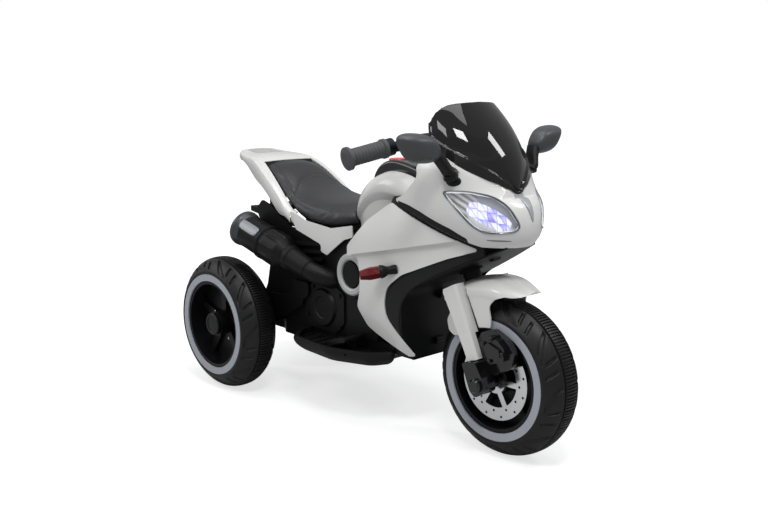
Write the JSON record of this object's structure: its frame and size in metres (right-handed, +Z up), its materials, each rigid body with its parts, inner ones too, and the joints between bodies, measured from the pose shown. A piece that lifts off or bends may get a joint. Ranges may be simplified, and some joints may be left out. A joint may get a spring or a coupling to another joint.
{
  "type": "kids electric motorbike",
  "caption": "Child's ride-on electric motorbike with steered front wheel, driven rear wheels, fairing, windscreen, padded seat, footboards, foot pedal, mirrors and grab handle.",
  "frame": {"origin": "on the floor, midway between the two axles, on the centre plane", "axes": "+X forward, +Y to the rider's left, +Z up"},
  "size_m": [0.894, 0.4136, 0.5915],
  "materials": {
    "white_plastic": "gloss",
    "tinted_screen": "dark gloss",
    "clear_lens": "clear",
    "silver_plastic": "bright metallised",
    "lamp": "frosted",
    "black_plastic": "satin",
    "grey_plastic": "satin",
    "red_lens": "translucent gloss",
    "red_button": "gloss",
    "black_button": "satin",
    "seat_vinyl": "grained vinyl",
    "tyre_plastic": "satin moulded",
    "grip_rubber": "matt",
    "steel": "plated",
    "motor_steel": "plated",
    "disc_chrome": "bright",
    "battery_case": "satin"
  },
  "bodies": {
    "chassis": {"nose_cowl": "white_plastic", "side_fairing_right": "white_plastic", "side_fairing_left": "white_plastic", "seat_trim_right": "white_plastic", "seat_trim_left": "white_plastic", "tail_cowl": "white_plastic", "tank_cover": "white_plastic", "windscreen": "tinted_screen", "headlight_lenses": "clear_lens", "headlight_bowls": "silver_plastic", "headlight_leds": "lamp", "front_shield_right": "black_plastic", "front_shield_left": "black_plastic", "engine_cover_right": "black_plastic", "engine_cover_left": "black_plastic", "muffler_right": "black_plastic", "muffler_left": "black_plastic", "dash_panel": "black_plastic", "seat_pan": "black_plastic", "chassis_tray": "black_plastic", "rear_subframe": "black_plastic", "turn_signal_stalks": "black_plastic", "steering_bushes": "black_plastic", "gearboxes": "black_plastic", "control_box": "black_plastic", "charge_socket": "black_plastic", "pedal_switch": "black_plastic", "engine_rings": "grey_plastic", "turn_signal_lenses": "red_lens", "seat_cushion": "seat_vinyl", "rear_axle": "steel", "drive_motors": "motor_steel", "battery": "battery_case"},
    "steering": {"steering_stem": "steel", "fork_leg_right": "black_plastic", "fork_leg_left": "black_plastic", "fork_cover_right": "white_plastic", "fork_cover_left": "white_plastic", "front_fender": "white_plastic", "handlebar": "black_plastic", "grips": "grip_rubber", "front_axle": "steel"},
    "front_wheel": {"front_tyre": "tyre_plastic", "front_rim": "black_plastic", "front_bands": "grey_plastic", "brake_discs": "disc_chrome"},
    "rear_wheel_right": {"rear_tyre_right": "tyre_plastic", "rear_rim_right": "black_plastic", "rear_band_right": "grey_plastic", "hub_cap_right": "black_plastic"},
    "rear_wheel_left": {"rear_tyre_left": "tyre_plastic", "rear_rim_left": "black_plastic", "rear_band_left": "grey_plastic", "hub_cap_left": "black_plastic"},
    "mirror_arm_right": {"mirror_right": "black_plastic"},
    "mirror_arm_left": {"mirror_left": "black_plastic"},
    "pedal": {"accelerator_pedal": "black_plastic"},
    "start": {"start_button": "red_button"},
    "horn": {"horn_button": "black_button"},
    "direction": {"direction_switch": "black_button"}
  },
  "joints": [
    {"name": "steer", "type": "hinge", "parent": "chassis", "child": "steering", "pos_m": [0.312, 0, 0.135], "axis": [-0.454, 0, 0.891], "range_deg": [-28, 28]},
    {"name": "front_wheel_spin", "type": "hinge", "parent": "steering", "child": "front_wheel", "pos_m": [0.312, 0, 0.135], "axis": [0, 1, 0], "continuous": true},
    {"name": "rear_wheel_right_spin", "type": "hinge", "parent": "chassis", "child": "rear_wheel_right", "pos_m": [-0.312, -0.146, 0.135], "axis": [0, 1, 0], "continuous": true},
    {"name": "rear_wheel_left_spin", "type": "hinge", "parent": "chassis", "child": "rear_wheel_left", "pos_m": [-0.312, 0.146, 0.135], "axis": [0, 1, 0], "continuous": true},
    {"name": "mirror_right_turn", "type": "hinge", "parent": "chassis", "child": "mirror_arm_right", "pos_m": [0.269, -0.097, 0.472], "axis": [0, -0.4983, 0.867], "range_deg": [-20, 20]},
    {"name": "mirror_left_turn", "type": "hinge", "parent": "chassis", "child": "mirror_arm_left", "pos_m": [0.269, 0.097, 0.472], "axis": [0, 0.4983, 0.867], "range_deg": [-20, 20]},
    {"name": "pedal_press", "type": "hinge", "parent": "chassis", "child": "pedal", "pos_m": [-0.018, -0.108, 0.146], "axis": [0, 1, 0], "range_deg": [0, 10], "stiffness_Nm_per_rad": 1.5, "springref_deg": -5.73},
    {"name": "start_press", "type": "slide", "parent": "chassis", "child": "start", "axis": [0, 0, -1], "range_m": [0, 0.003], "stiffness_N_per_m": 500, "springref_m": -0.001},
    {"name": "horn_press", "type": "slide", "parent": "chassis", "child": "horn", "axis": [0, 0, -1], "range_m": [0, 0.003], "stiffness_N_per_m": 500, "springref_m": -0.001},
    {"name": "direction_rock", "type": "hinge", "parent": "chassis", "child": "direction", "pos_m": [0.092, 0.024, 0.4778], "axis": [0, 1, 0], "range_deg": [-7, 7]}
  ]
}
